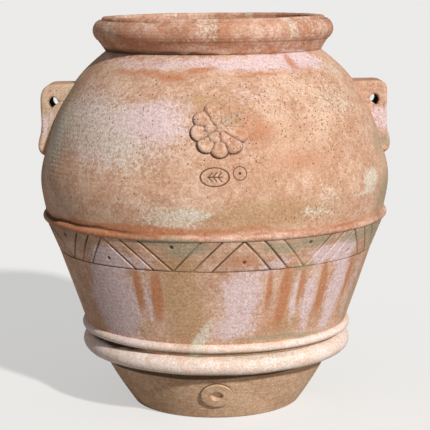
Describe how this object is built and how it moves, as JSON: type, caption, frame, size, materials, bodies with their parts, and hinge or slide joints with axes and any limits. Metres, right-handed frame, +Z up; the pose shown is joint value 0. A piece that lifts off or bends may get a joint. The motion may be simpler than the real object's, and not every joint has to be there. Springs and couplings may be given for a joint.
{
  "type": "storage jar",
  "caption": "Large round-bellied terracotta jar with rolled rim, two strap lug handles, scored zigzag band, flower sprig and tap collar on a narrow foot.",
  "frame": {"origin": "centre of the foot's underside, on the jar's axis", "axes": "+Z up along the jar's axis, -Y to the front with the flower and the tap collar, handles on -X and +X"},
  "size_m": [0.7196, 0.7175, 0.8],
  "materials": {
    "wall_terracotta": "matt unglazed, weathered with lime bloom and lichen",
    "rim_terracotta": "matt unglazed, orange",
    "roll_terracotta": "matt unglazed, pale pink bloom",
    "foot_terracotta": "matt unglazed, buff brown"
  },
  "bodies": {
    "root": {"floor_disc": "foot_terracotta", "foot_wall": "foot_terracotta", "tap_boss": "foot_terracotta", "base_roll_large": "roll_terracotta", "base_roll_small": "roll_terracotta", "lower_wall": "wall_terracotta", "incised_band": "wall_terracotta", "belt_ridge": "rim_terracotta", "belly_wall": "wall_terracotta", "shoulder_wall": "wall_terracotta", "neck_ring": "rim_terracotta", "rim_roll": "rim_terracotta", "lip_bead": "rim_terracotta", "left_handle": "wall_terracotta", "right_handle": "wall_terracotta", "left_handle_pad": "wall_terracotta", "right_handle_pad": "wall_terracotta", "rosette_outer_petals": "wall_terracotta", "rosette_inner_petals": "wall_terracotta", "rosette_button": "wall_terracotta"}
  },
  "joints": []
}
